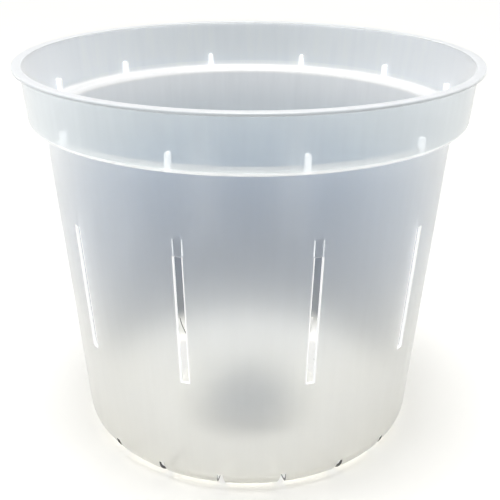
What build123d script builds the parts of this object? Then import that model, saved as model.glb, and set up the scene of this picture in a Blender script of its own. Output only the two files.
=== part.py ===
from build123d import *
import math
import os

# Slotted orchid pot, one thin moulding of milky plastic, in millimetres.
# The origin is the middle of the foot, +Z points up and -Y is the front.
# The moulding is divided into the zones that its section names, from lip to floor.
# Angles round the pot are counted from the front, anticlockwise seen from above.

# Whole pot
rim_diameter = 178.0
pot_height = 152.8
wall_thickness = 1.0

# Rim: a flat lip on a tapered band, over a ledge that steps in to the wall
lip_width = 2.7
lip_thickness = 1.2
lip_edge_radius = 0.4
band_height = 21.6
band_draft = 5.4
step_width = 5.6
step_inside_radius = 1.6
step_outside_radius = 1.0

# Stacking ribs on the ledge
rib_count = 12
rib_first_angle = 12.6
rib_height = 6.2
rib_depth = 1.3
rib_foot_width = 2.1
rib_top_width = 1.6

# Wall and its upright slots
wall_draft = 4.57
slot_count = 10
slot_first_angle = 18.0
slot_width = 3.0
slot_length = 51.0
slot_bottom = 48.9
groove_length = 6.2
groove_depth = 0.6

# Base: a round corner, drain slots that climb it, and a raised middle
base_inside_radius = 9.6
drain_count = 16
drain_first_angle = 13.1
drain_foot_width = 3.6
drain_top_width = 2.0
drain_rise = 8.5
drain_inner_radius = 44.0
drain_end_radius = 1.0
ring_over_drains = 2.1
centre_diameter = 60.0
centre_height = 8.5
centre_draft = 5.0
centre_inside_radius = 0.6
centre_outside_radius = 1.0

# Sizes that follow from those above
lip_radius = rim_diameter / 2
band_top_radius = lip_radius - lip_width
lip_underside = pot_height - lip_thickness
step_height = pot_height - band_height
band_slope = math.tan(math.radians(band_draft))
band_low_radius = band_top_radius - (lip_underside - step_height) * band_slope
wall_top_radius = band_low_radius - step_width
wall_slope = math.tan(math.radians(wall_draft))
wall_foot_radius = wall_top_radius - step_height * wall_slope
slot_top = slot_bottom + slot_length

step_corner_radius = step_inside_radius + wall_thickness
base_corner_radius = base_inside_radius + wall_thickness
centre_corner_radius = centre_inside_radius + wall_thickness
hollow_height = centre_height - wall_thickness
hollow_top_radius = centre_diameter / 2 - wall_thickness
hollow_foot_radius = hollow_top_radius + hollow_height * math.tan(math.radians(centre_draft))

# Heights and radii where one zone of the moulding gives way to the next
band_foot = step_height + step_corner_radius
wall_top = step_height - step_outside_radius
corner_top = max(base_corner_radius, drain_rise + ring_over_drains)
floor_edge_radius = wall_foot_radius - base_corner_radius
riser_edge_radius = hollow_foot_radius + centre_corner_radius
plate_edge_radius = hollow_top_radius - centre_outside_radius


def around(shape, count, first_angle):
    """The same shape at even steps round the pot, from its place at the front."""
    return [Rot(0, 0, first_angle + 360 / count * i) * shape for i in range(count)]


def band_radius(height):
    """Outside radius of the band's cone at a height."""
    return band_top_radius - (lip_underside - height) * band_slope


def wall_inside_radius(height):
    """Inside radius of the wall's cone at a height."""
    slant = wall_thickness / math.cos(math.radians(wall_draft))
    return wall_foot_radius + height * wall_slope - slant


def outside_line():
    """The pot's outside from above the lip down to the foot, and on to the axis below the floor."""
    over_lip = pot_height + lip_thickness
    return FilletPolyline(
        (band_radius(over_lip), over_lip),
        (band_low_radius, step_height),
        (wall_top_radius, step_height),
        (wall_foot_radius, 0),
        (hollow_foot_radius, 0),
        (hollow_top_radius, hollow_height),
        (0, hollow_height),
        radius=[
            step_corner_radius,
            step_outside_radius,
            base_corner_radius,
            centre_corner_radius,
            centre_outside_radius,
        ],
    )


def shell_section():
    """Half section of the moulding: one even wall laid on the inside of the outside line."""
    wall_line = offset(outside_line(), wall_thickness, side=Side.RIGHT)
    return make_face(wall_line.edges())


def zone(section, radii, heights):
    """The ring that the part of the section within these radii and heights turns into."""
    low, high = heights
    near, far = radii
    window = Pos((near + far) / 2, (low + high) / 2) * Rectangle(far - near, high - low)
    return revolve(Plane.XZ * (section & window), Axis.Z)


def rim_lip():
    """Flat lip with rounded edges, which stands out past the band and is flush with it inside."""
    slant = wall_thickness / math.cos(math.radians(band_draft))
    profile = make_face(
        Polyline(
            (band_radius(lip_underside) - slant, lip_underside),
            (lip_radius, lip_underside),
            (lip_radius, pot_height),
            (band_radius(pot_height) - slant, pot_height),
            close=True,
        )
    )
    corners = profile.vertices().sort_by(Axis.Y)
    outer_corners = corners.sort_by(Axis.X)[-2:]
    inner_top = corners[-2:].sort_by(Axis.X)[0]
    profile = fillet([*outer_corners, inner_top], lip_edge_radius)
    return revolve(Plane.XZ * profile, Axis.Z)


def rim_space(section):
    """The space inside the band and over the ledge, which trims each rib to its seat."""
    window = Pos(lip_radius / 2, (step_height + lip_underside) / 2)
    window *= Rectangle(lip_radius, lip_underside - step_height)
    inside = (window - section).faces().sort_by(Axis.X)[0]
    return revolve(Plane.XZ * inside, Axis.Z)


def stacking_rib(section):
    """One rib at the front: tapered upwards, round on top, flat on its inner face."""
    ledge = step_height + wall_thickness
    face_radius = band_radius(ledge) - wall_thickness - rib_depth
    head_radius = rib_top_width / 2
    head_height = ledge + rib_height - head_radius
    outline = make_face(
        Polyline(
            (-rib_foot_width / 2, step_height),
            (rib_foot_width / 2, step_height),
            (head_radius, head_height),
            (-head_radius, head_height),
            close=True,
        )
    )
    head = Pos(0, head_height) * Circle(head_radius)
    blank = extrude(Plane.XZ.offset(face_radius) * (outline + head), lip_radius - face_radius)
    return blank & rim_space(section)


def wall_slot():
    """The gap of one upright slot at the front, cut square through the wall."""
    middle = (slot_bottom + slot_top) / 2
    return Pos(0, -lip_radius / 2, middle) * Box(slot_width, lip_radius, slot_length + wall_thickness)


def slot_groove():
    """The groove over one slot at the front: cut into the wall's inside and running out upwards."""
    groove_top = slot_top + groove_length
    low_face = wall_inside_radius(slot_top)
    high_face = wall_inside_radius(groove_top)
    profile = make_face(
        Polyline(
            (-low_face - groove_depth, slot_top),
            (-high_face, groove_top),
            (0, groove_top),
            (0, slot_top),
            close=True,
        )
    )
    return extrude(Plane.YZ * profile, slot_width / 2, both=True)


def drain_slot():
    """The gap of one drain slot at the front: radial in the floor, narrowing as it climbs the corner."""
    below = wall_thickness
    spread = (drain_foot_width - drain_top_width) / drain_rise
    low_half = (drain_foot_width + spread * below) / 2
    high_half = drain_top_width / 2
    outline = make_face(
        Polyline(
            (-low_half, -below),
            (low_half, -below),
            (high_half, drain_rise),
            (-high_half, drain_rise),
            close=True,
        )
    )
    gap = extrude(Plane.XZ.offset(drain_inner_radius) * outline, lip_radius - drain_inner_radius)
    inner_end = gap.faces().sort_by(Axis.Y)[-1]
    upright = [edge for edge in inner_end.edges() if abs((edge @ 1 - edge @ 0).Z) > drain_rise / 2]
    return fillet(upright, min(drain_end_radius, high_half * 0.8))


def build_pot():
    """Every zone of the moulding by name."""
    section = shell_section()
    whole_radius = (0, lip_radius)
    drains = around(drain_slot(), drain_count, drain_first_angle)
    slots = around(wall_slot(), slot_count, slot_first_angle)
    grooves = around(slot_groove(), slot_count, slot_first_angle)

    zones = {
        "rim_lip": rim_lip(),
        "rim_band": zone(section, whole_radius, (band_foot, lip_underside)),
        "rim_step": zone(section, whole_radius, (wall_top, band_foot)),
        "upper_wall": zone(section, whole_radius, (slot_top, wall_top)) - grooves,
        "lower_wall": zone(section, whole_radius, (corner_top, slot_bottom)),
        "base_corner": zone(section, (floor_edge_radius, lip_radius), (0, corner_top)) - drains,
        "floor_ring": zone(section, (riser_edge_radius, floor_edge_radius), (0, corner_top)) - drains,
        "centre_riser": zone(section, (plate_edge_radius, riser_edge_radius), (0, corner_top)),
        "centre_plate": zone(section, (0, plate_edge_radius), (0, corner_top)),
    }

    ribs = around(stacking_rib(section), rib_count, rib_first_angle)
    for number, rib in enumerate(ribs, start=1):
        zones[f"stacking_rib_{number:02d}"] = rib

    staves = (zone(section, whole_radius, (slot_bottom, slot_top)) - slots).solids()
    half_step = 180 / slot_count
    by_angle = sorted(staves, key=lambda stave: turn_from(stave, slot_first_angle + half_step))
    for number, stave in enumerate(by_angle, start=1):
        zones[f"wall_panel_{number:02d}"] = stave
    return zones


def turn_from(solid, first_angle):
    """How far round from the first angle a solid lies, in whole degrees from 0 up to 360."""
    middle = solid.center()
    angle = math.degrees(math.atan2(middle.X, -middle.Y))
    return round(angle - first_angle) % 360


os.makedirs("parts", exist_ok=True)
for name, shape in build_pot().items():
    export_step(shape, f"parts/{name}.step")
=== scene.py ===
import logging
import math
from dataclasses import dataclass, field
from enum import Enum

import bmesh
import bpy
from mathutils import Matrix, Vector


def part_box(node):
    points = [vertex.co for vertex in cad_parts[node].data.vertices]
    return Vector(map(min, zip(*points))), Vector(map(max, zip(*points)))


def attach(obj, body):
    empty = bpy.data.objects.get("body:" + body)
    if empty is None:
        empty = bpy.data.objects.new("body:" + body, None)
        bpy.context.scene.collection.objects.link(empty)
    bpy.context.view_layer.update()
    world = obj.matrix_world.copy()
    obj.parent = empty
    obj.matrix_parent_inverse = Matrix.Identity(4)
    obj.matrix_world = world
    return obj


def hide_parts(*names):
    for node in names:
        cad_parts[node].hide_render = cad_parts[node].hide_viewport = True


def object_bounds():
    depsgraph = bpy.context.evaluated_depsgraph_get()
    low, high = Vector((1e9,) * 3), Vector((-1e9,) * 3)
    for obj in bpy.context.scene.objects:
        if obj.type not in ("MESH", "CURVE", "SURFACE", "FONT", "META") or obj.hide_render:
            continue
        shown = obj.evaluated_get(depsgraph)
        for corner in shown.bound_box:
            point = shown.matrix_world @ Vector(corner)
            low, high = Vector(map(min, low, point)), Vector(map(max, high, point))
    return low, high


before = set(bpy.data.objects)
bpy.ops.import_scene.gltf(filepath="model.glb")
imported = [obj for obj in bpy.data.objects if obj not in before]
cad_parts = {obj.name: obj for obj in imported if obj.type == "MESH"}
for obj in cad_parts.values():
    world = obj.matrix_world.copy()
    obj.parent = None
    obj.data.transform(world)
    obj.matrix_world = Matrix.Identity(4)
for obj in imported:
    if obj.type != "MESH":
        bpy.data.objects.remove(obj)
CAD_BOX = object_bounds()

# Slotted orchid pot of milky plastic, in metres, in the frame of its CAD model.
# The origin is the middle of the foot, +Z points up and -Y is the front.
# Angles round the pot are counted from the front, anticlockwise seen from above.

LOG = logging.getLogger("orchid_pot")
BODY = "root"
MM = 0.001
MERGE_DISTANCE = 0.001 * MM
ROUND_STEPS = 240
ROUND_PROFILE = 0.5
SHARP_ANGLE = math.radians(35)
LEVEL_NORMAL = 0.9
UP = Vector((0, 0, 1))
POT_HEIGHT = CAD_BOX[1].z
Colour = tuple[float, float, float, float]
LampColour = tuple[float, float, float]
WHITE: Colour = (1, 1, 1, 1)


def outward(angle: float) -> Vector:
    """Unit vector that points away from the axis at an angle in degrees from the front."""
    return Vector((math.sin(math.radians(angle)), -math.cos(math.radians(angle)), 0))


def across(angle: float) -> Vector:
    """Unit vector along the wall, anticlockwise, at an angle in degrees from the front."""
    return Vector((math.cos(math.radians(angle)), math.sin(math.radians(angle)), 0))


def around(count: int, first_angle: float) -> list[float]:
    """Angles in degrees from the front of a form that repeats at even steps round the pot."""
    return [first_angle + 360 / count * index for index in range(count)]


@dataclass(frozen=True)
class Corner:
    """One corner of a half section: its distance from the axis, its height and its rounding."""

    radius: float
    height: float
    rounding: float = 0.0


def wire(bm: bmesh.types.BMesh, corners: list[Corner], closed: bool, segments: int) -> None:
    """Lays a half section in the XZ plane as a line of edges and rounds its corners.

    Args:
        bm: The mesh that receives the line.
        corners: The corners in order along the line.
        closed: Whether the last corner is joined to the first.
        segments: Number of edges in each rounded corner.
    """
    verts = [bm.verts.new((corner.radius, 0, corner.height)) for corner in corners]
    pairs = list(zip(verts, verts[1:]))
    if closed:
        pairs.append((verts[-1], verts[0]))
    for start, end in pairs:
        bm.edges.new((start, end))
    places = [vert.co.copy() for vert in verts]
    for index, corner in enumerate(corners):
        if corner.rounding == 0.0:
            continue
        before = places[index] - places[index - 1]
        after = places[(index + 1) % len(places)] - places[index]
        setback = corner.rounding * math.tan(before.angle(after) / 2)
        bmesh.ops.bevel(
            bm,
            geom=[verts[index]],
            offset=setback,
            offset_type="OFFSET",
            affect="VERTICES",
            segments=segments,
            profile=ROUND_PROFILE,
            material=-1,
            clamp_overlap=False,
        )


def turn(bm: bmesh.types.BMesh) -> None:
    """Spins everything in a mesh once round the pot's axis and closes the seam and the pole.

    Args:
        bm: The mesh with the half section.
    """
    bmesh.ops.spin(
        bm,
        geom=bm.verts[:] + bm.edges[:],
        cent=(0, 0, 0),
        axis=UP,
        angle=2 * math.pi,
        steps=ROUND_STEPS,
        use_merge=True,
    )
    bmesh.ops.remove_doubles(bm, verts=bm.verts, dist=MERGE_DISTANCE)
    bmesh.ops.recalc_face_normals(bm, faces=bm.faces)


def cut(bm: bmesh.types.BMesh, faces: list[bmesh.types.BMFace], point: Vector, normal: Vector) -> None:
    """Splits some faces along a plane and leaves the rest of the mesh whole.

    Args:
        bm: The mesh that holds the faces.
        faces: The faces to split.
        point: A point of the plane.
        normal: The plane's normal.
    """
    edges = {edge for face in faces for edge in face.edges}
    verts = {vert for face in faces for vert in face.verts}
    bmesh.ops.bisect_plane(
        bm,
        geom=list(verts) + list(edges) + faces,
        dist=MERGE_DISTANCE,
        plane_co=point,
        plane_no=normal,
    )


def close(bm: bmesh.types.BMesh, outline: list[bmesh.types.BMVert], towards: Vector) -> bmesh.types.BMFace:
    """Closes an outline with one face.

    Args:
        bm: The mesh that holds the outline.
        outline: The outline's points in order.
        towards: The side that the face looks to.

    Returns:
        The new face.
    """
    face = bm.faces.new(outline)
    face.normal_update()
    if face.normal.dot(towards) < 0:
        face.normal_flip()
    return face


def finished(bm: bmesh.types.BMesh, name: str) -> bpy.types.Object:
    """Turns a mesh into an object at the origin, smooth except along its sharp edges.

    Args:
        bm: The finished mesh, which is freed.
        name: Name of the piece.

    Returns:
        The new object, linked to the scene.
    """
    for face in bm.faces:
        face.smooth = True
    for edge in bm.edges:
        edge.smooth = len(edge.link_faces) == 2 and edge.calc_face_angle() < SHARP_ANGLE
    mesh = bpy.data.meshes.new(name)
    bm.to_mesh(mesh)
    bm.free()
    piece = bpy.data.objects.new(name, mesh)
    bpy.context.scene.collection.objects.link(piece)
    return piece


@dataclass(frozen=True)
class MilkyPlastic:
    """See-through white plastic: part of the light enters a face, and the face scatters the rest.

    Attributes:
        name: Name of the material.
        tints: Heights up the pot, each with the tint there; in several finishes these tints are painted
            light and shade, lighter where more light falls and darker deep inside.
        clearness: Share of the light that enters a face that is seen straight on.
        aslant_clearness: The same share for a face that is seen aslant.
        smooth: Least roughness of the mould's grain.
        rough: Greatest roughness of the mould's grain.
        within_clearness: Share of the light that leaves through a face that is seen from within.
        within_tint: Tint of a face that is seen from within.
        scatter: Share of the scattering that happens below the surface.
        scatter_depth: How deep that scattering goes.
        veil: Share of the lamps' light that each face lets straight through.
        painted_glow: Strength of a painted glow, an emission with no lamp behind it, that stands for light
            led along the wall.
        streak: How far the upright flow streaks lighten or darken the tint.
        streak_scale: Fineness of the streaks across, along and up.
        streak_detail: Levels of finer streaks.
        grain_scale: Fineness of the mould's grain.
        grain_detail: Levels of finer grain.
        sheen: Strength of the soft sheen.
        sheen_roughness: How far the sheen spreads.
        refraction: Index of refraction.
    """

    name: str
    tints: tuple[tuple[float, Colour], ...]
    clearness: float
    aslant_clearness: float
    smooth: float
    rough: float
    within_clearness: float = 1.0
    within_tint: Colour = WHITE
    scatter: float = 0.0
    scatter_depth: float = 0.8 * MM
    veil: float = 0.5
    painted_glow: float = 0.0
    streak: float = 0.06
    streak_scale: tuple[float, float, float] = (300, 300, 20)
    streak_detail: float = 4.0
    grain_scale: float = 900.0
    grain_detail: float = 3.0
    sheen: float = 0.5
    sheen_roughness: float = 0.4
    refraction: float = 1.49

    def build(self) -> bpy.types.Material:
        """Builds the finish.

        Returns:
            The material.
        """
        material = bpy.data.materials.new(self.name)
        material.use_nodes = True
        tree = material.node_tree
        surface = tree.nodes["Principled BSDF"]
        surface.inputs["IOR"].default_value = self.refraction
        surface.inputs["Sheen Weight"].default_value = self.sheen
        surface.inputs["Sheen Roughness"].default_value = self.sheen_roughness
        surface.inputs["Sheen Tint"].default_value = WHITE
        surface.inputs["Emission Color"].default_value = WHITE
        surface.inputs["Emission Strength"].default_value = self.painted_glow
        surface.inputs["Subsurface Weight"].default_value = self.scatter
        surface.inputs["Subsurface Scale"].default_value = self.scatter_depth
        surface.inputs["Subsurface Radius"].default_value = (1.0, 1.0, 1.0)
        place = tree.nodes.new("ShaderNodeTexCoord").outputs["Object"]
        side = tree.nodes.new("ShaderNodeNewGeometry").outputs["Backfacing"]
        tree.links.new(self.colour(tree, place, side), surface.inputs["Base Color"])
        if self.clearness == self.aslant_clearness == self.within_clearness:
            surface.inputs["Transmission Weight"].default_value = self.clearness
        else:
            tree.links.new(self.entry(tree, side), surface.inputs["Transmission Weight"])
        tree.links.new(self.gloss(tree, place), surface.inputs["Roughness"])
        tree.links.new(self.veiled(tree, surface), tree.nodes["Material Output"].inputs["Surface"])
        return material

    def tint(self, tree: bpy.types.NodeTree, place: bpy.types.NodeSocket) -> bpy.types.NodeSocket:
        """Tint by height up the pot, which in several finishes holds painted light and shade.

        Args:
            tree: The material's nodes.
            place: Object coordinates.

        Returns:
            The tint.
        """
        split = tree.nodes.new("ShaderNodeSeparateXYZ")
        tree.links.new(place, split.inputs["Vector"])
        climb = tree.nodes.new("ShaderNodeMapRange")
        climb.inputs["From Max"].default_value = POT_HEIGHT
        tree.links.new(split.outputs["Z"], climb.inputs["Value"])
        ramp = tree.nodes.new("ShaderNodeValToRGB")
        ramp.color_ramp.interpolation = "EASE"
        stops = ramp.color_ramp.elements
        while len(stops) < len(self.tints):
            stops.new(0.5)
        for stop, (height, colour) in zip(stops, self.tints):
            stop.position = height / POT_HEIGHT
            stop.color = colour
        tree.links.new(climb.outputs["Result"], ramp.inputs["Fac"])
        return ramp.outputs["Color"]

    def colour(self, tree: bpy.types.NodeTree, place: bpy.types.NodeSocket,
               side: bpy.types.NodeSocket) -> bpy.types.NodeSocket:
        """Tint with the upright flow streaks of the moulding, and another one from within the wall.

        Args:
            tree: The material's nodes.
            place: Object coordinates.
            side: 1 where the face is seen from within the wall.

        Returns:
            The colour.
        """
        stretch = tree.nodes.new("ShaderNodeMapping")
        stretch.inputs["Scale"].default_value = self.streak_scale
        tree.links.new(place, stretch.inputs["Vector"])
        streaks = tree.nodes.new("ShaderNodeTexNoise")
        streaks.inputs["Scale"].default_value = 1.0
        streaks.inputs["Detail"].default_value = self.streak_detail
        tree.links.new(stretch.outputs["Vector"], streaks.inputs["Vector"])
        shade = tree.nodes.new("ShaderNodeMapRange")
        shade.inputs["To Min"].default_value = 1 - self.streak
        shade.inputs["To Max"].default_value = 1 + self.streak
        tree.links.new(streaks.outputs["Fac"], shade.inputs["Value"])
        streaked = tree.nodes.new("ShaderNodeVectorMath")
        streaked.operation = "SCALE"
        tree.links.new(self.tint(tree, place), streaked.inputs["Vector"])
        tree.links.new(shade.outputs["Result"], streaked.inputs["Scale"])
        within = tree.nodes.new("ShaderNodeMix")
        within.data_type = "RGBA"
        within.inputs["B"].default_value = self.within_tint
        tree.links.new(side, within.inputs["Factor"])
        tree.links.new(streaked.outputs["Vector"], within.inputs["A"])
        return within.outputs["Result"]

    def entry(self, tree: bpy.types.NodeTree, side: bpy.types.NodeSocket) -> bpy.types.NodeSocket:
        """Share of the light that passes a face: straight on, aslant, and from within the wall.

        Args:
            tree: The material's nodes.
            side: 1 where the face is seen from within the wall.

        Returns:
            The share.
        """
        slant = tree.nodes.new("ShaderNodeLayerWeight")
        haze = tree.nodes.new("ShaderNodeMapRange")
        haze.inputs["To Min"].default_value = self.clearness
        haze.inputs["To Max"].default_value = self.aslant_clearness
        tree.links.new(slant.outputs["Facing"], haze.inputs["Value"])
        share = tree.nodes.new("ShaderNodeMapRange")
        share.inputs["To Max"].default_value = self.within_clearness
        tree.links.new(side, share.inputs["Value"])
        tree.links.new(haze.outputs["Result"], share.inputs["To Min"])
        return share.outputs["Result"]

    def gloss(self, tree: bpy.types.NodeTree, place: bpy.types.NodeSocket) -> bpy.types.NodeSocket:
        """Roughness with the fine grain of the mould.

        Args:
            tree: The material's nodes.
            place: Object coordinates.

        Returns:
            The roughness.
        """
        grain = tree.nodes.new("ShaderNodeTexNoise")
        grain.inputs["Scale"].default_value = self.grain_scale
        grain.inputs["Detail"].default_value = self.grain_detail
        tree.links.new(place, grain.inputs["Vector"])
        gloss = tree.nodes.new("ShaderNodeMapRange")
        gloss.inputs["To Min"].default_value = self.smooth
        gloss.inputs["To Max"].default_value = self.rough
        tree.links.new(grain.outputs["Fac"], gloss.inputs["Value"])
        return gloss.outputs["Result"]

    def veiled(self, tree: bpy.types.NodeTree, surface: bpy.types.ShaderNode) -> bpy.types.NodeSocket:
        """The surface, with part of the lamps' light let straight through to what lies behind.

        Args:
            tree: The material's nodes.
            surface: The plastic's own shader.

        Returns:
            The shader for the material's output.
        """
        path = tree.nodes.new("ShaderNodeLightPath")
        veil = tree.nodes.new("ShaderNodeBsdfTransparent")
        veil.inputs["Color"].default_value = (self.veil, self.veil, self.veil, 1)
        lit = tree.nodes.new("ShaderNodeMixShader")
        tree.links.new(path.outputs["Is Shadow Ray"], lit.inputs["Fac"])
        tree.links.new(surface.outputs["BSDF"], lit.inputs[1])
        tree.links.new(veil.outputs["BSDF"], lit.inputs[2])
        return lit.outputs["Shader"]


@dataclass(frozen=True)
class PaintedShadePlastic(MilkyPlastic):
    """Milky plastic with painted shade round one point, where it stands clear of the ground.

    Attributes:
        dim: Tint of the painted shade at the point.
        painted_shade_place: The point where the painted shade is darkest.
        painted_shade_reach: How far the painted shade reaches across, along and up.
        painted_shade_heart: Share of the reach that is wholly in painted shade.
    """

    # Painted shade: the tint darkens to this grey round the point on the raised middle.
    dim: Colour = (0.27, 0.29, 0.33, 1)
    painted_shade_place: tuple[float, float, float] = (0, -16 * MM, 6 * MM)
    painted_shade_reach: tuple[float, float, float] = (40 * MM, 56 * MM, 56 * MM)
    painted_shade_heart: float = 0.12

    def tint(self, tree: bpy.types.NodeTree, place: bpy.types.NodeSocket) -> bpy.types.NodeSocket:
        """Tint by height, with painted shade round the point.

        Args:
            tree: The material's nodes.
            place: Object coordinates.

        Returns:
            The tint.
        """
        centred = tree.nodes.new("ShaderNodeMapping")
        centred.vector_type = "TEXTURE"
        centred.inputs["Location"].default_value = self.painted_shade_place
        centred.inputs["Scale"].default_value = self.painted_shade_reach
        tree.links.new(place, centred.inputs["Vector"])
        away = tree.nodes.new("ShaderNodeVectorMath")
        away.operation = "LENGTH"
        tree.links.new(centred.outputs["Vector"], away.inputs[0])
        fade = tree.nodes.new("ShaderNodeMapRange")
        fade.interpolation_type = "SMOOTHSTEP"
        fade.inputs["From Min"].default_value = self.painted_shade_heart
        tree.links.new(away.outputs["Value"], fade.inputs["Value"])
        shaded = tree.nodes.new("ShaderNodeMix")
        shaded.data_type = "RGBA"
        shaded.inputs["A"].default_value = self.dim
        tree.links.new(fade.outputs["Result"], shaded.inputs["Factor"])
        tree.links.new(super().tint(tree, place), shaded.inputs["B"])
        return shaded.outputs["Result"]


class Plastic(Enum):
    """The finishes of the moulding: both faces of its thin wall zone by zone, its cut edges and its rim."""

    WALL = MilkyPlastic(
        name="milky_wall_painted_light",
        # The tints are painted light: warm and pale at the foot, where light bounces up from the floor,
        # fading to a cool bluish tint higher up.
        tints=(
            (0.0, (0.95, 0.93, 0.83, 1)),
            (40 * MM, (0.94, 0.94, 0.89, 1)),
            (100 * MM, (0.86, 0.91, 0.97, 1)),
        ),
        clearness=0.88,
        aslant_clearness=0.54,
        smooth=0.29,
        rough=0.32,
    )
    BAND = MilkyPlastic(
        name="milky_band",
        tints=((120 * MM, (0.87, 0.95, 1.0, 1)), (150 * MM, (0.88, 0.95, 1.0, 1))),
        clearness=0.70,
        aslant_clearness=0.2,
        smooth=0.12,
        rough=0.17,
    )
    BEND = MilkyPlastic(
        name="milky_bend_painted_highlight",
        # Painted highlight: the tints turn the bend under the ledge into a bright white line, and a painted
        # glow adds to it.
        tints=(
            (131 * MM, (0.96, 0.98, 0.99, 1)),
            (132.4 * MM, (0.96, 0.98, 1.0, 1)),
            (133.4 * MM, (0.84, 0.94, 1.0, 1)),
        ),
        clearness=0.45,
        aslant_clearness=0.3,
        smooth=0.12,
        rough=0.17,
        painted_glow=0.10,
    )
    INSIDE = MilkyPlastic(
        name="milky_inside_painted_light_and_shade",
        # The tints are painted light and shade by height: near white on the floor, then painted dark up the
        # wall deep inside where little light reaches, lighter towards the mouth, with a painted pale line
        # on the ledge.
        tints=(
            (4 * MM, (0.97, 0.96, 0.91, 1)),
            (14 * MM, (0.30, 0.32, 0.35, 1)),
            (36 * MM, (0.26, 0.29, 0.345, 1)),
            (60 * MM, (0.26, 0.32, 0.41, 1)),
            (85 * MM, (0.31, 0.40, 0.52, 1)),
            (100 * MM, (0.44, 0.53, 0.64, 1)),
            (114 * MM, (0.67, 0.71, 0.75, 1)),
            (129.6 * MM, (0.78, 0.81, 0.85, 1)),
            (131 * MM, (0.88, 0.89, 0.90, 1)),
            (132.4 * MM, (0.88, 0.89, 0.90, 1)),
        ),
        clearness=0.15,
        aslant_clearness=0.15,
        smooth=0.278,
        rough=0.30,
        scatter=1.0,
        scatter_depth=2.5 * MM,
        sheen=1.0,
        sheen_roughness=0.5,
    )
    MOUTH = MilkyPlastic(
        name="milky_mouth",
        tints=((132.4 * MM, (0.88, 0.89, 0.90, 1)), (136 * MM, (0.81, 0.87, 1.0, 1))),
        clearness=0.08,
        aslant_clearness=0.85,
        smooth=0.278,
        rough=0.30,
        scatter=1.0,
        scatter_depth=2.5 * MM,
        sheen=1.0,
        sheen_roughness=0.5,
    )
    # The raised middle of the floor, with painted shade on its front part.
    MIDDLE = PaintedShadePlastic(
        name="milky_middle_painted_shade",
        tints=((0.0, (0.97, 0.96, 0.91, 1)), (10 * MM, (0.97, 0.96, 0.91, 1))),
        clearness=0.15,
        aslant_clearness=0.15,
        smooth=0.278,
        rough=0.30,
        scatter=1.0,
    )
    CORNER = MilkyPlastic(
        name="milky_corner_painted_glow",
        # A weak painted glow on the inner corner between the ledge and the band.
        tints=((132.4 * MM, (0.90, 0.91, 0.92, 1)), (136 * MM, (0.81, 0.87, 1.0, 1))),
        clearness=0.1,
        aslant_clearness=0.1,
        within_clearness=0.25,
        smooth=0.278,
        rough=0.30,
        scatter=1.0,
        painted_glow=0.05,
    )
    GROOVE = MilkyPlastic(
        name="milky_groove_painted_shade",
        # Painted shade: the grooves are tinted dark bluish grey, and grey from within the wall, as shade in
        # a recess.
        tints=((60 * MM, (0.30, 0.35, 0.43, 1)), (85 * MM, (0.36, 0.43, 0.53, 1))),
        clearness=0.15,
        aslant_clearness=0.15,
        within_tint=(0.42, 0.45, 0.49, 1),
        smooth=0.278,
        rough=0.30,
    )
    EDGE = MilkyPlastic(
        name="milky_edge_painted_glow",
        # Painted highlight: the slots' cut edges and the strips beside them are near white with a painted
        # glow, for light that leaves the wall there.
        tints=((0.0, (0.95, 0.95, 0.93, 1)), (40 * MM, (0.95, 0.95, 0.95, 1))),
        clearness=0.1,
        aslant_clearness=0.1,
        within_clearness=0.1,
        smooth=0.30,
        rough=0.42,
        painted_glow=0.35,
    )
    DRAIN_EDGE = MilkyPlastic(
        name="milky_drain_edge_painted_shade",
        # Painted shade: the drains' cut edges are near black, for the shadow inside the drains.
        tints=((0.0, (0.05, 0.05, 0.05, 1)), (12 * MM, (0.08, 0.08, 0.08, 1))),
        clearness=0.0,
        aslant_clearness=0.0,
        within_clearness=0.6,
        smooth=0.30,
        rough=0.42,
        sheen=0.0,
    )
    RIM = MilkyPlastic(
        name="milky_rim_painted_reflection",
        # Painted reflections: the tints draw thin dark lines along the lip's underside and just below its
        # upper edge, and a weak painted glow is added.
        tints=(
            (151.62 * MM, (0.36, 0.39, 0.42, 1)),
            (151.8 * MM, (0.82, 0.84, 0.86, 1)),
            (152.1 * MM, (0.82, 0.84, 0.86, 1)),
            (152.25 * MM, (0.50, 0.53, 0.56, 1)),
            (152.4 * MM, (0.79, 0.81, 0.84, 1)),
        ),
        clearness=0.2,
        aslant_clearness=0.1,
        smooth=0.278,
        rough=0.30,
        scatter=1.0,
        veil=0.3,
        painted_glow=0.05,
    )
    RIB = MilkyPlastic(
        name="milky_rib_painted_glow",
        # Painted glow: the ribs glow white though no lamp lights them so, standing for light led through
        # the thick plastic.
        tints=((130 * MM, (0.95, 0.95, 0.95, 1)), (140 * MM, (0.95, 0.95, 0.95, 1))),
        clearness=0.15,
        aslant_clearness=0.1,
        smooth=0.30,
        rough=0.42,
        scatter=1.0,
        veil=0.3,
        painted_glow=0.42,
    )


@dataclass(frozen=True)
class PaleFloor:
    """Plain pale floor."""

    name: str = "pale_floor"
    light: Colour = (0.94, 0.935, 0.92, 1)
    dim: Colour = (0.92, 0.915, 0.90, 1)
    cloud_scale: float = 4.0
    roughness: float = 0.8
    shine: float = 0.2

    def build(self) -> bpy.types.Material:
        """Builds the finish.

        Returns:
            The material.
        """
        material = bpy.data.materials.new(self.name)
        material.use_nodes = True
        nodes = material.node_tree.nodes
        links = material.node_tree.links
        surface = nodes["Principled BSDF"]
        surface.inputs["Roughness"].default_value = self.roughness
        surface.inputs["Specular IOR Level"].default_value = self.shine
        place = nodes.new("ShaderNodeTexCoord")
        cloud = nodes.new("ShaderNodeTexNoise")
        cloud.inputs["Scale"].default_value = self.cloud_scale
        links.new(place.outputs["Object"], cloud.inputs["Vector"])
        tint = nodes.new("ShaderNodeMix")
        tint.data_type = "RGBA"
        tint.inputs["A"].default_value = self.dim
        tint.inputs["B"].default_value = self.light
        links.new(cloud.outputs["Fac"], tint.inputs["Factor"])
        links.new(tint.outputs["Result"], surface.inputs["Base Color"])
        return material


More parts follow.
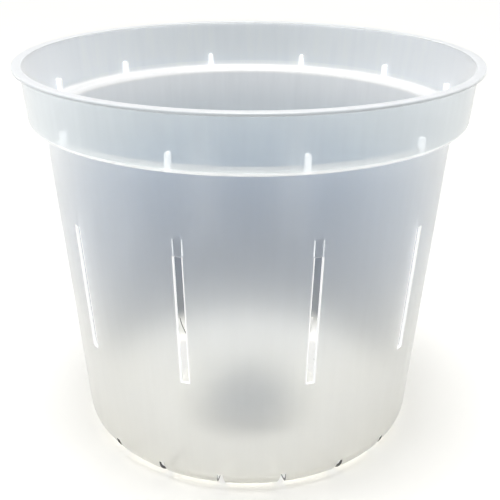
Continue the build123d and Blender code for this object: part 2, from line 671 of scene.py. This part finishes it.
@dataclass(frozen=True)
class PotSection:
    """Half section of the moulding, which the rim and the shell share."""

    height: float
    lip_radius: float
    wall: float = 1.0 * MM
    lip_width: float = 2.7 * MM
    lip_thickness: float = 1.2 * MM
    band_height: float = 21.6 * MM
    band_draft: float = 5.4
    step_width: float = 5.6 * MM
    wall_draft: float = 4.57

    @classmethod
    def from_frame(cls) -> "PotSection":
        """Reads the height and the rim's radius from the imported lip."""
        low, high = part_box("rim_lip")
        return cls(height=high.z, lip_radius=max(high.x, -low.x))

    @property
    def lip_underside(self) -> float:
        """Height of the lip's underside."""
        return self.height - self.lip_thickness

    @property
    def step_height(self) -> float:
        """Height of the ledge's underside."""
        return self.height - self.band_height

    @property
    def ledge_height(self) -> float:
        """Height of the ledge's upper face."""
        return self.step_height + self.wall

    @property
    def wall_top_radius(self) -> float:
        """Outside radius of the wall where the ledge meets it."""
        return self.band_radius(self.step_height) - self.step_width

    def band_radius(self, height: float) -> float:
        """Outside radius of the band's cone at a height."""
        slope = math.tan(math.radians(self.band_draft))
        return self.lip_radius - self.lip_width - (self.lip_underside - height) * slope

    def wall_radius(self, height: float) -> float:
        """Outside radius of the wall's cone at a height."""
        slope = math.tan(math.radians(self.wall_draft))
        return self.wall_top_radius - (self.step_height - height) * slope


ZONES = (
    Plastic.WALL,
    Plastic.BAND,
    Plastic.BEND,
    Plastic.INSIDE,
    Plastic.MOUTH,
    Plastic.MIDDLE,
    Plastic.CORNER,
    Plastic.GROOVE,
    Plastic.EDGE,
    Plastic.DRAIN_EDGE,
)


@dataclass
class Shell:
    """The thin moulding from the band down to the raised middle of the floor.

    The bend's drop and rise, from the ledge's underside, bound the finish of the outside there. The
    corner's start and rise, from the ledge's upper face, do so on the inside.
    """

    section: PotSection
    step_inside_radius: float = 1.6 * MM
    step_outside_radius: float = 1.0 * MM
    slot_count: int = 10
    slot_first_angle: float = 18.0
    slot_width: float = 3.0 * MM
    groove_length: float = 6.2 * MM
    groove_depth: float = 0.6 * MM
    edge_strip: float = 0.4 * MM
    base_inside_radius: float = 9.6 * MM
    drain_count: int = 18
    drain_first_angle: float = 11.4
    drain_foot_width: float = 3.6 * MM
    drain_top_width: float = 2.0 * MM
    drain_rise: float = 8.5 * MM
    drain_inner_radius: float = 44.0 * MM
    centre_radius: float = 30.0 * MM
    centre_height: float = 8.5 * MM
    centre_draft: float = 5.0
    centre_inside_radius: float = 0.6 * MM
    centre_outside_radius: float = 1.0 * MM
    bend_drop: float = 1.0 * MM
    bend_rise: float = 1.8 * MM
    corner_start: float = 0.2 * MM
    corner_rise: float = 2.8 * MM
    corner_segments: int = 8

    def outline(self) -> list[Corner]:
        """Lays out the outside, from inside the lip down to the foot and to the axis under the floor.

        Returns:
            The corners in order.
        """
        section = self.section
        top = section.height - section.lip_thickness / 2
        hollow_height = self.centre_height - section.wall
        hollow_radius = self.centre_radius - section.wall
        flare = hollow_height * math.tan(math.radians(self.centre_draft))
        return [
            Corner(section.band_radius(top), top),
            Corner(section.band_radius(section.step_height), section.step_height,
                   self.step_inside_radius + section.wall),
            Corner(section.wall_top_radius, section.step_height, self.step_outside_radius),
            Corner(section.wall_radius(0), 0, self.base_inside_radius + section.wall),
            Corner(hollow_radius + flare, 0, self.centre_inside_radius + section.wall),
            Corner(hollow_radius, hollow_height, self.centre_outside_radius),
            Corner(0, hollow_height),
        ]

    def open_slot(self, bm: bmesh.types.BMesh, angle: float, low: float,
                  high: float) -> set[bmesh.types.BMFace]:
        """Opens one upright slot in the outside sheet and sets off the strips beside it.

        Args:
            bm: The outside sheet, already split at the slot's ends.
            angle: Where the slot is, in degrees from the front.
            low: Height of the slot's lower end.
            high: Height of its upper end.

        Returns:
            The faces of the strips, which carry a painted glow for the light that leaves at the slot's
            edges.
        """
        out = outward(angle)
        along = across(angle)
        reach = 4 * self.slot_width

        def near(width: float) -> list[bmesh.types.BMFace]:
            """Finds faces of the wall between the slot's ends.

            Args:
                width: Width of the upright strip that holds them, over the slot's middle.

            Returns:
                The faces.
            """
            found = []
            for face in bm.faces:
                middle = face.calc_center_median()
                if low < middle.z < high and middle.dot(out) > 0 and abs(middle.dot(along)) < width / 2:
                    found.append(face)
            return found

        for half in (self.slot_width / 2, self.slot_width / 2 + self.edge_strip):
            for side in (-1, 1):
                cut(bm, near(reach), along * side * half, along)
        bmesh.ops.delete(bm, geom=near(self.slot_width), context="FACES")
        return set(near(self.slot_width + 2 * self.edge_strip))

    def open_drain(self, bm: bmesh.types.BMesh, angle: float) -> None:
        """Opens one drain slot, radial in the floor and narrowing as it climbs the corner.

        Args:
            bm: The outside sheet.
            angle: Where the drain is, in degrees from the front.
        """
        out = outward(angle)
        along = across(angle)
        foot_half = self.drain_foot_width / 2
        lean = (self.drain_foot_width - self.drain_top_width) / 2 / self.drain_rise

        def near(margin: float) -> list[bmesh.types.BMFace]:
            """Finds faces within the drain's outline or near it.

            Args:
                margin: How far outside the outline they may lie.

            Returns:
                The faces.
            """
            found = []
            for face in bm.faces:
                middle = face.calc_center_median()
                half = foot_half - lean * middle.z + margin
                inner = self.drain_inner_radius - margin
                low_enough = middle.z < self.drain_rise + margin
                if low_enough and middle.dot(out) > inner and abs(middle.dot(along)) < half:
                    found.append(face)
            return found

        reach = 2 * self.drain_foot_width
        cut(bm, near(reach), UP * self.drain_rise, UP)
        cut(bm, near(reach), out * self.drain_inner_radius, out)
        for side in (-1, 1):
            cut(bm, near(reach), along * side * foot_half, along * side + UP * lean)
        bmesh.ops.delete(bm, geom=near(0), context="FACES")

    def lintel_over(self, bm: bmesh.types.BMesh, angle: float, height: float) -> list[bmesh.types.BMFace]:
        """Finds the faces of the wall's thickness that close one slot at its upper end.

        Args:
            bm: The shell with its thickness.
            angle: Where the slot is, in degrees from the front.
            height: Height of the slot's upper end.

        Returns:
            The faces.
        """
        out = outward(angle)
        along = across(angle)
        found = []
        for face in bm.faces:
            middle = face.calc_center_median()
            level = abs(middle.z - height) < self.section.wall / 4 and abs(face.normal.z) > LEVEL_NORMAL
            if level and middle.dot(out) > 0 and abs(middle.dot(along)) < self.slot_width / 2:
                found.append(face)
        return found

    def cut_groove(self, bm: bmesh.types.BMesh, angle: float, height: float) -> None:
        """Cuts the groove over one slot into the inside of the wall, where it runs out upwards.

        Args:
            bm: The shell with its thickness.
            angle: Where the slot is, in degrees from the front.
            height: Height of the slot's upper end.
        """
        out = outward(angle)
        along = across(angle)
        reach = 2 * self.slot_width
        lintel = self.lintel_over(bm, angle, height)
        corners = {vert for face in lintel for vert in face.verts}
        in_order = sorted(corners, key=lambda vert: vert.co.dot(along))
        depth = sum(vert.co.dot(out) for vert in in_order) / len(in_order)
        outer = [vert for vert in in_order if vert.co.dot(out) > depth]
        inner = [vert for vert in in_order if vert.co.dot(out) < depth]
        ends = (inner[0], inner[-1])
        top = ends[0].co.z + self.groove_length

        def near(half: float, ceiling: float) -> list[bmesh.types.BMFace]:
            """Finds faces of the wall's inside over the slot.

            Args:
                half: How far they may lie to either side of the slot's middle.
                ceiling: Height that they stay under.

            Returns:
                The faces.
            """
            found = []
            for face in bm.faces:
                middle = face.calc_center_median()
                if face.material_index != ZONES.index(Plastic.INSIDE) or not height < middle.z < ceiling:
                    continue
                if middle.dot(out) > 0 and abs(middle.dot(along)) < half:
                    found.append(face)
            return found

        cut(bm, near(reach, self.section.step_height), UP * top, UP)
        for end, side in zip(ends, (-1, 1)):
            for strip in (0, self.edge_strip):
                cut(bm, near(reach, top), end.co + along * side * strip, along)
        window = near(self.slot_width / 2, top)
        head = {vert for face in window for vert in face.verts if abs(vert.co.z - top) < MERGE_DISTANCE}
        heads = sorted(head, key=lambda vert: vert.co.dot(along))
        bmesh.ops.delete(bm, geom=window + lintel, context="FACES")
        for face in near(self.slot_width / 2 + self.edge_strip, top):
            face.material_index = ZONES.index(Plastic.EDGE)
        depths = []
        for end, corner in zip(ends, (outer[0], outer[-1])):
            edge = bm.edges.get((end, corner))
            share = self.groove_depth / edge.calc_length()
            depths.append(bmesh.utils.edge_split(edge, end, share)[1])
        left, right = depths
        walls = [
            (Plastic.GROOVE, [left, right, *reversed(heads)], -out),
            (Plastic.CORNER, [*outer, right, left], -UP),
            (Plastic.EDGE, [ends[0], left, heads[0]], along),
            (Plastic.EDGE, [ends[1], right, heads[-1]], -along),
        ]
        for plastic, outline, towards in walls:
            close(bm, outline, towards).material_index = ZONES.index(plastic)

    def zone_of(self, face: bmesh.types.BMFace) -> Plastic:
        """Chooses a finish for the outside, by height.

        Args:
            face: A face of the outside sheet.

        Returns:
            The finish.
        """
        height = face.calc_center_median().z
        if height > self.section.step_height + self.bend_rise:
            return Plastic.BAND
        if height > self.section.step_height - self.bend_drop:
            return Plastic.BEND
        return Plastic.WALL

    def inner_zone_of(self, face: bmesh.types.BMFace) -> Plastic:
        """Chooses a finish for the inside, by height and by distance from the axis.

        Args:
            face: A face of the inside sheet.

        Returns:
            The finish.
        """
        middle = face.calc_center_median()
        if middle.xy.length < self.centre_radius + 2 * self.section.wall:
            return Plastic.MIDDLE
        if middle.z > self.section.ledge_height + self.corner_rise:
            return Plastic.MOUTH
        if middle.z > self.section.ledge_height + self.corner_start:
            return Plastic.CORNER
        return Plastic.INSIDE

    def edge_zone_of(self, face: bmesh.types.BMFace) -> Plastic:
        """Finish of a cut edge: a painted glow round the wall's slots and painted shade in the drains."""
        low = face.calc_center_median().z < 2 * self.drain_rise
        return Plastic.DRAIN_EDGE if low else Plastic.EDGE

    def build(self) -> bpy.types.Object:
        """Builds the shell: outside sheet, slots, drains, the wall's thickness, then the slots' grooves.

        Returns:
            The shell.
        """
        bm = bmesh.new()
        wire(bm, self.outline(), closed=False, segments=self.corner_segments)
        turn(bm)
        low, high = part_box("wall_panel_01")
        for end in (low.z, high.z):
            cut(bm, bm.faces[:], UP * end, UP)
        strips: set[bmesh.types.BMFace] = set()
        for angle in around(self.slot_count, self.slot_first_angle):
            strips |= self.open_slot(bm, angle, low.z, high.z)
        for angle in around(self.drain_count, self.drain_first_angle):
            self.open_drain(bm, angle)
        bmesh.ops.recalc_face_normals(bm, faces=bm.faces)
        outside = set(bm.faces)
        grown = bmesh.ops.solidify(bm, geom=bm.faces[:], thickness=self.section.wall)["geom"]
        inside = {face for face in grown if isinstance(face, bmesh.types.BMFace)}
        before = set(bm.faces)
        cut(bm, list(inside), UP * (self.section.ledge_height + self.corner_rise), UP)
        inside |= set(bm.faces) - before
        for face in bm.faces:
            if face in inside:
                plastic = self.inner_zone_of(face)
            elif face in strips:
                plastic = Plastic.EDGE
            elif face in outside:
                plastic = self.zone_of(face)
            else:
                plastic = self.edge_zone_of(face)
            face.material_index = ZONES.index(plastic)
        for angle in around(self.slot_count, self.slot_first_angle):
            self.cut_groove(bm, angle, high.z)
        LOG.info("shell volume %.1f mm3, %d faces", bm.calc_volume() / MM ** 3, len(bm.faces))
        return finished(bm, "pot_shell")

    def dress(self, piece: bpy.types.Object, finishes: list[bpy.types.Material]) -> None:
        """Gives the shell its finishes and its body, and hides the CAD zones that it stands for.

        Args:
            piece: The shell.
            finishes: Its materials, in the order of the zones.
        """
        for finish in finishes:
            piece.data.materials.append(finish)
        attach(piece, BODY)
        panels = [f"wall_panel_{number:02d}" for number in range(1, self.slot_count + 1)]
        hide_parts("rim_band", "rim_step", "upper_wall", *panels, "lower_wall",
                    "base_corner", "floor_ring", "centre_riser", "centre_plate")


@dataclass
class Rim:
    """The flat lip round the mouth and the stacking ribs on the ledge below it."""

    section: PotSection
    lip_edge_radius: float = 0.4 * MM
    lip_segments: int = 4
    rib_count: int = 12
    rib_first_angle: float = 12.6
    rib_height: float = 6.2 * MM
    rib_depth: float = 1.3 * MM
    rib_foot_width: float = 1.9 * MM
    rib_top_width: float = 1.5 * MM
    rib_roundness: float = 0.98
    rib_segments: int = 6
    seat: float = 0.3 * MM

    def build_lip(self) -> bpy.types.Object:
        """Builds the flat ring with its rounded edges.

        Returns:
            The lip.
        """
        section = self.section
        slant = section.wall / math.cos(math.radians(section.band_draft))
        under = section.lip_underside
        bm = bmesh.new()
        corners = [
            Corner(section.band_radius(under) - slant, under),
            Corner(section.lip_radius, under, self.lip_edge_radius),
            Corner(section.lip_radius, section.height, self.lip_edge_radius),
            Corner(section.band_radius(section.height) - slant, section.height, self.lip_edge_radius),
        ]
        wire(bm, corners, closed=True, segments=self.lip_segments)
        turn(bm)
        return finished(bm, "rim_lip_ring")

    def build_rib(self, number: int) -> bpy.types.Object:
        """Builds one rib, tapered upwards and round on top, with its foot and back sunk in the shell.

        Args:
            number: Which rib, from 1.

        Returns:
            The rib.
        """
        section = self.section
        ledge = section.ledge_height
        inner_face = section.band_radius(ledge) - section.wall - self.rib_depth
        foot = ledge - self.seat
        top = ledge + self.rib_height
        bm = bmesh.new()
        head = self.rib_top_width / 2
        outline = [
            bm.verts.new((-self.rib_foot_width / 2, -inner_face, foot)),
            bm.verts.new((self.rib_foot_width / 2, -inner_face, foot)),
            bm.verts.new((head, -inner_face, top)),
            bm.verts.new((-head, -inner_face, top)),
        ]
        bm.faces.new(outline)
        bmesh.ops.bevel(
            bm,
            geom=outline[2:],
            offset=head * self.rib_roundness,
            offset_type="OFFSET",
            affect="VERTICES",
            segments=self.rib_segments,
            profile=ROUND_PROFILE,
            material=-1,
        )
        grown = bmesh.ops.extrude_face_region(bm, geom=bm.faces[:], use_keep_orig=True)["geom"]
        for vert in grown:
            if isinstance(vert, bmesh.types.BMVert):
                vert.co.y = -(section.band_radius(vert.co.z) - section.wall + self.seat)
        bmesh.ops.recalc_face_normals(bm, faces=bm.faces)
        angle = around(self.rib_count, self.rib_first_angle)[number - 1]
        turned = Matrix.Rotation(math.radians(angle), 4, "Z")
        bmesh.ops.transform(bm, matrix=turned, verts=bm.verts)
        return finished(bm, f"rib_{number:02d}")

    def dress(self, piece: bpy.types.Object, finish: bpy.types.Material, node: str) -> None:
        """Gives a piece of the rim its finish and its body, and hides the CAD node that it stands for.

        Args:
            piece: The lip or a rib.
            finish: Its material.
            node: Name of the CAD node.
        """
        piece.data.materials.append(finish)
        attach(piece, BODY)
        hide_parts(node)


@dataclass
class Studio:
    """Pale floor, soft light and the camera at the photograph's angle."""

    floor_size: float = 6.0
    floor_segments: int = 128
    eye: Vector = field(default_factory=lambda: Vector((0, -0.33704, 0.21599)))
    pitch: float = 22.5
    roll: float = 0.24
    sensor: float = 36
    lens: float = 62.79
    shift_across: float = 0.00356
    shift_up: float = -0.02198
    near_limit: float = 0.01
    key_power: float = 2.9
    key_colour: LampColour = (1, 0.98, 0.94)
    key_spread: float = 30
    key_turn: float = 0
    key_height: float = 86
    box_size: float = 0.6
    box_distance: float = 0.7
    box_height: float = 0.5
    box_aim: float = 0.08
    left_power: float = 1.5
    left_colour: LampColour = (1, 0.98, 0.94)
    right_power: float = 0.35
    right_colour: LampColour = (1, 0.92, 0.76)
    fill_colour: Colour = (0.78, 0.88, 1.0, 1)
    fill_power: float = 0.2

    def place_floor(self) -> None:
        """Lays the floor under the pot."""
        bm = bmesh.new()
        bmesh.ops.create_circle(bm, cap_ends=True, segments=self.floor_segments, radius=self.floor_size)
        floor = finished(bm, "floor")
        floor.data.materials.append(PaleFloor().build())

    def place_camera(self) -> None:
        """Sets the camera where the photograph was taken from."""
        data = bpy.data.cameras.new("camera")
        data.sensor_width = self.sensor
        data.lens = self.lens
        data.shift_x = self.shift_across
        data.shift_y = self.shift_up
        data.clip_start = self.near_limit
        camera = bpy.data.objects.new("camera", data)
        aim = Matrix.Rotation(math.radians(90 - self.pitch), 4, "X")
        roll = Matrix.Rotation(math.radians(self.roll), 4, "Z")
        camera.matrix_world = Matrix.Translation(self.eye) @ aim @ roll
        bpy.context.scene.collection.objects.link(camera)
        bpy.context.scene.camera = camera

    def hang_key(self) -> None:
        """Hangs the broad main light over the pot."""
        data = bpy.data.lights.new("key", "SUN")
        data.energy = self.key_power
        data.color = self.key_colour
        data.angle = math.radians(self.key_spread)
        key = bpy.data.objects.new("key", data)
        towards = outward(self.key_turn) * math.cos(math.radians(self.key_height))
        towards += UP * math.sin(math.radians(self.key_height))
        key.matrix_world = towards.to_track_quat("Z", "Y").to_matrix().to_4x4()
        bpy.context.scene.collection.objects.link(key)

    def hang_box(self, name: str, side: int, power: float, colour: LampColour) -> None:
        """Hangs one square soft box beside the pot.

        Args:
            name: Name of the lamp.
            side: -1 for the left and 1 for the right.
            power: Its power in watts.
            colour: Its colour.
        """
        data = bpy.data.lights.new(name, "AREA")
        data.size = self.box_size
        data.energy = power
        data.color = colour
        place = Vector((side * self.box_distance, 0, self.box_height))
        aim = Vector((0, 0, self.box_aim)) - place
        lamp = bpy.data.objects.new(name, data)
        lamp.matrix_world = Matrix.Translation(place) @ aim.to_track_quat("-Z", "Y").to_matrix().to_4x4()
        lamp.visible_camera = False
        bpy.context.scene.collection.objects.link(lamp)

    def hang_backdrop(self) -> None:
        """Gives the world a dim fill, and a white backdrop where the camera, gloss or plastic shows it."""
        world = bpy.data.worlds.new("studio")
        bpy.context.scene.world = world
        world.use_nodes = True
        nodes = world.node_tree.nodes
        links = world.node_tree.links
        fill = nodes["Background"]
        fill.inputs["Color"].default_value = self.fill_colour
        fill.inputs["Strength"].default_value = self.fill_power
        backdrop = nodes.new("ShaderNodeBackground")
        backdrop.inputs["Color"].default_value = WHITE
        path = nodes.new("ShaderNodeLightPath")
        share = path.outputs["Is Camera Ray"]
        for ray in ("Is Glossy Ray", "Is Transmission Ray"):
            either = nodes.new("ShaderNodeMath")
            either.operation = "MAXIMUM"
            links.new(share, either.inputs[0])
            links.new(path.outputs[ray], either.inputs[1])
            share = either.outputs["Value"]
        seen = nodes.new("ShaderNodeMixShader")
        links.new(share, seen.inputs["Fac"])
        links.new(fill.outputs["Background"], seen.inputs[1])
        links.new(backdrop.outputs["Background"], seen.inputs[2])
        links.new(seen.outputs["Shader"], nodes["World Output"].inputs["Surface"])

    def light(self) -> None:
        """Lights the pot from above and from both sides, before a white backdrop."""
        self.hang_key()
        self.hang_box("left_box", -1, self.left_power, self.left_colour)
        self.hang_box("right_box", 1, self.right_power, self.right_colour)
        self.hang_backdrop()


def note(piece: bpy.types.Object) -> None:
    """Logs a piece with the number of its faces."""
    LOG.info("%s: %d faces", piece.name, len(piece.data.polygons))


def main() -> None:
    """Builds the pot and the studio in order and reports each piece."""
    logging.basicConfig(level=logging.INFO, format="%(name)s: %(message)s")
    section = PotSection.from_frame()
    finishes = {plastic: plastic.value.build() for plastic in Plastic}
    shell = Shell(section)
    piece = shell.build()
    shell.dress(piece, [finishes[plastic] for plastic in ZONES])
    note(piece)
    rim = Rim(section)
    lip = rim.build_lip()
    rim.dress(lip, finishes[Plastic.RIM], "rim_lip")
    note(lip)
    for number in range(1, rim.rib_count + 1):
        rib = rim.build_rib(number)
        rim.dress(rib, finishes[Plastic.RIB], f"stacking_rib_{number:02d}")
        note(rib)
    studio = Studio()
    studio.place_floor()
    studio.place_camera()
    studio.light()
    bpy.context.scene.view_settings.view_transform = "Standard"


if __name__ == "__main__":
    main()
